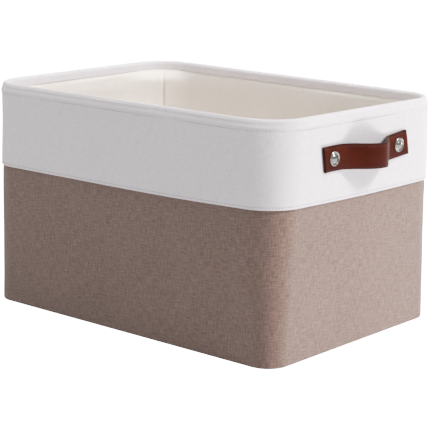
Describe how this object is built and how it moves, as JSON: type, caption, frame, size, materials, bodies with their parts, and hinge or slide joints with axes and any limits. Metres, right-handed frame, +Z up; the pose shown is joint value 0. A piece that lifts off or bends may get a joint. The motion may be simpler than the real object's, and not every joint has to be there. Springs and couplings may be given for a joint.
{
  "type": "fabric storage bin",
  "caption": "Open rectangular fabric bin with a wire rim, a white upper band over a taupe wrap, riveted leather strap handles and a lift-out base board.",
  "frame": {"origin": "centre of the underside, on the surface that the bin stands on", "axes": "+X along the long side, through the end walls with the handles; +Y across to the long back wall; +Z up"},
  "size_m": [0.4442, 0.2798, 0.24],
  "materials": {
    "band_canvas": "matte",
    "wrap_linen": "matte",
    "lining_cotton": "matte",
    "foam_interlining": "matte",
    "board_cover": "matte",
    "grey_board": "matte",
    "strap_leather": "satin",
    "rivet_chrome": "polished",
    "wire_steel": "satin",
    "sewing_thread": "matte"
  },
  "bodies": {
    "shell": {"bottom_panel": "wrap_linen", "lower_wrap": "wrap_linen", "wall_foam_front": "foam_interlining", "wall_foam_back": "foam_interlining", "wall_foam_left": "foam_interlining", "wall_foam_right": "foam_interlining", "lining_walls": "lining_cotton", "lining_floor": "lining_cotton"},
    "rim": {"rim_wire": "wire_steel", "rim_wire_sleeve": "wire_steel", "upper_band": "band_canvas", "strap_tab_right_front": "strap_leather", "rivet_cap_right_front": "rivet_chrome", "rivet_post_right_front": "wire_steel", "rivet_washer_right_front": "wire_steel", "strap_tab_right_back": "strap_leather", "rivet_cap_right_back": "rivet_chrome", "rivet_post_right_back": "wire_steel", "rivet_washer_right_back": "wire_steel", "strap_tab_left_front": "strap_leather", "rivet_cap_left_front": "rivet_chrome", "rivet_post_left_front": "wire_steel", "rivet_washer_left_front": "wire_steel", "strap_tab_left_back": "strap_leather", "rivet_cap_left_back": "rivet_chrome", "rivet_post_left_back": "wire_steel", "rivet_washer_left_back": "wire_steel"},
    "base_board": {"base_board_core": "grey_board", "base_board_cover": "board_cover"},
    "loop_right": {"strap_loop_right": "strap_leather"},
    "loop_left": {"strap_loop_left": "strap_leather"}
  },
  "joints": [
    {"name": "rim_collapse", "type": "slide", "parent": "shell", "child": "rim", "axis": [0, 0, -1], "range_m": [0, 0.12], "deforming": ["lower_wrap", "wall_foam_front", "wall_foam_back", "wall_foam_left", "wall_foam_right", "lining_walls"]},
    {"name": "base_board_lift", "type": "slide", "parent": "shell", "child": "base_board", "axis": [0, 0, 1], "range_m": [0, 0.26]},
    {"name": "strap_right_swing", "type": "hinge", "parent": "rim", "child": "loop_right", "pos_m": [0.19934, 0.001, 0.195], "axis": [0, -1, 0], "range_deg": [-12, 25], "stiffness_Nm_per_rad": 0.1},
    {"name": "strap_left_swing", "type": "hinge", "parent": "rim", "child": "loop_left", "pos_m": [-0.19934, 0.001, 0.195], "axis": [0, 1, 0], "range_deg": [-12, 25], "stiffness_Nm_per_rad": 0.1}
  ]
}
